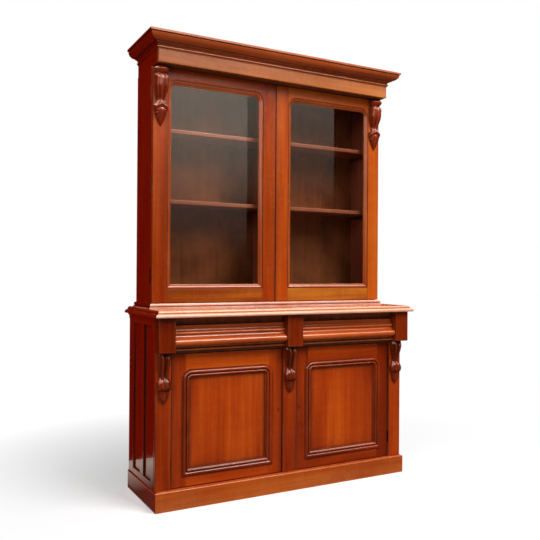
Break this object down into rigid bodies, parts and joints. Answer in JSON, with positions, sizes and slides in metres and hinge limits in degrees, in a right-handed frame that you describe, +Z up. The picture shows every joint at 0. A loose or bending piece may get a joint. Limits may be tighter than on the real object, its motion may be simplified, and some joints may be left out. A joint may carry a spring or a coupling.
{
  "type": "glazed bookcase",
  "caption": "Two-part bookcase: a glazed two-door upper case with shelves on a cupboard with drawers, panelled doors and carved corbels.",
  "frame": {"origin": "on the floor, at the middle of the overall width and depth", "axes": "+Z up, +X to the right of someone who faces the doors, -Y towards that person"},
  "size_m": [1.518, 0.51, 2.3],
  "materials": {
    "mahogany": "French polish, glossy",
    "inner_wood": "thin polish, satin",
    "pane_glass": "clear",
    "brass": "aged"
  },
  "bodies": {
    "case": {"cornice_moulding": "mahogany", "drawer_dustboards": "inner_wood", "drawer_guides": "inner_wood", "frieze_blocks": "brass", "frieze_boards": "mahogany", "frieze_soffit_and_cover": "inner_wood", "hinge_fixed_leaves": "brass", "hinge_pins": "brass", "lower_back_board": "inner_wood", "lower_bottom_board": "inner_wood", "lower_corbels": "mahogany", "lower_partition": "inner_wood", "lower_shelves": "inner_wood", "lower_side_frames": "mahogany", "lower_side_panels": "mahogany", "pilasters": "mahogany", "plinth_front": "mahogany", "plinth_returns": "mahogany", "shelf_cleats": "inner_wood", "upper_back_planks": "inner_wood", "upper_base_rail": "mahogany", "upper_bottom_board": "inner_wood", "upper_partition": "inner_wood", "upper_shelves": "inner_wood", "upper_sides": "mahogany", "upper_top_board": "inner_wood", "waist_moulding": "mahogany", "worktop": "mahogany", "worktop_bed_mouldings": "mahogany"},
    "upper_left_door": {"upper_left_door_frame": "mahogany", "upper_left_door_moulding": "mahogany", "upper_left_door_glass": "pane_glass", "upper_left_corbel": "mahogany", "upper_left_door_hinge_leaves": "brass", "upper_left_door_bolt_plates": "brass"},
    "lower_left_door": {"lower_left_door_frame": "mahogany", "lower_left_door_moulding": "mahogany", "lower_left_door_panel": "mahogany", "lower_left_door_hinge_leaves": "brass", "lower_left_lock": "brass"},
    "left_drawer": {"left_drawer_front": "mahogany", "left_drawer_box": "inner_wood"},
    "lower_left_lock_bolt": {"lower_left_lock_bolt": "brass"},
    "upper_right_door": {"upper_right_door_frame": "mahogany", "upper_right_door_moulding": "mahogany", "upper_right_door_glass": "pane_glass", "upper_right_corbel": "mahogany", "upper_right_door_hinge_leaves": "brass", "upper_right_lock": "brass"},
    "lower_right_door": {"lower_right_door_frame": "mahogany", "lower_right_door_moulding": "mahogany", "lower_right_door_panel": "mahogany", "lower_right_door_hinge_leaves": "brass", "lower_right_lock": "brass"},
    "right_drawer": {"right_drawer_front": "mahogany", "right_drawer_box": "inner_wood"},
    "lower_right_lock_bolt": {"lower_right_lock_bolt": "brass"},
    "upper_right_lock_bolt": {"upper_right_lock_bolt": "brass"},
    "upper_left_door_top_bolt": {"upper_left_door_top_bolt": "brass"},
    "upper_left_door_bottom_bolt": {"upper_left_door_bottom_bolt": "brass"}
  },
  "joints": [
    {"name": "upper_left_door_swing", "type": "hinge", "parent": "case", "child": "upper_left_door", "pos_m": [-0.699, 0.0205, 1.568], "axis": [0, 0, -1], "range_deg": [0, 170]},
    {"name": "upper_right_door_swing", "type": "hinge", "parent": "case", "child": "upper_right_door", "pos_m": [0.699, 0.0205, 1.568], "axis": [0, 0, 1], "range_deg": [0, 170]},
    {"name": "lower_left_door_swing", "type": "hinge", "parent": "case", "child": "lower_left_door", "pos_m": [-0.6515, -0.161, 0.4], "axis": [0, 0, -1], "range_deg": [0, 90]},
    {"name": "lower_right_door_swing", "type": "hinge", "parent": "case", "child": "lower_right_door", "pos_m": [0.6515, -0.161, 0.4], "axis": [0, 0, 1], "range_deg": [0, 90]},
    {"name": "left_drawer_slide", "type": "slide", "parent": "case", "child": "left_drawer", "axis": [0, -1, 0], "range_m": [0, 0.28]},
    {"name": "right_drawer_slide", "type": "slide", "parent": "case", "child": "right_drawer", "axis": [0, -1, 0], "range_m": [0, 0.28]},
    {"name": "upper_right_lock_throw", "type": "slide", "parent": "upper_right_door", "child": "upper_right_lock_bolt", "axis": [-1, 0, 0], "range_m": [0, 0.008]},
    {"name": "lower_left_lock_throw", "type": "slide", "parent": "lower_left_door", "child": "lower_left_lock_bolt", "axis": [1, 0, 0], "range_m": [0, 0.008]},
    {"name": "lower_right_lock_throw", "type": "slide", "parent": "lower_right_door", "child": "lower_right_lock_bolt", "axis": [-1, 0, 0], "range_m": [0, 0.008]},
    {"name": "top_bolt_throw", "type": "slide", "parent": "upper_left_door", "child": "upper_left_door_top_bolt", "axis": [0, 0, 1], "range_m": [0, 0.014]},
    {"name": "bottom_bolt_throw", "type": "slide", "parent": "upper_left_door", "child": "upper_left_door_bottom_bolt", "axis": [0, 0, -1], "range_m": [0, 0.014]}
  ]
}
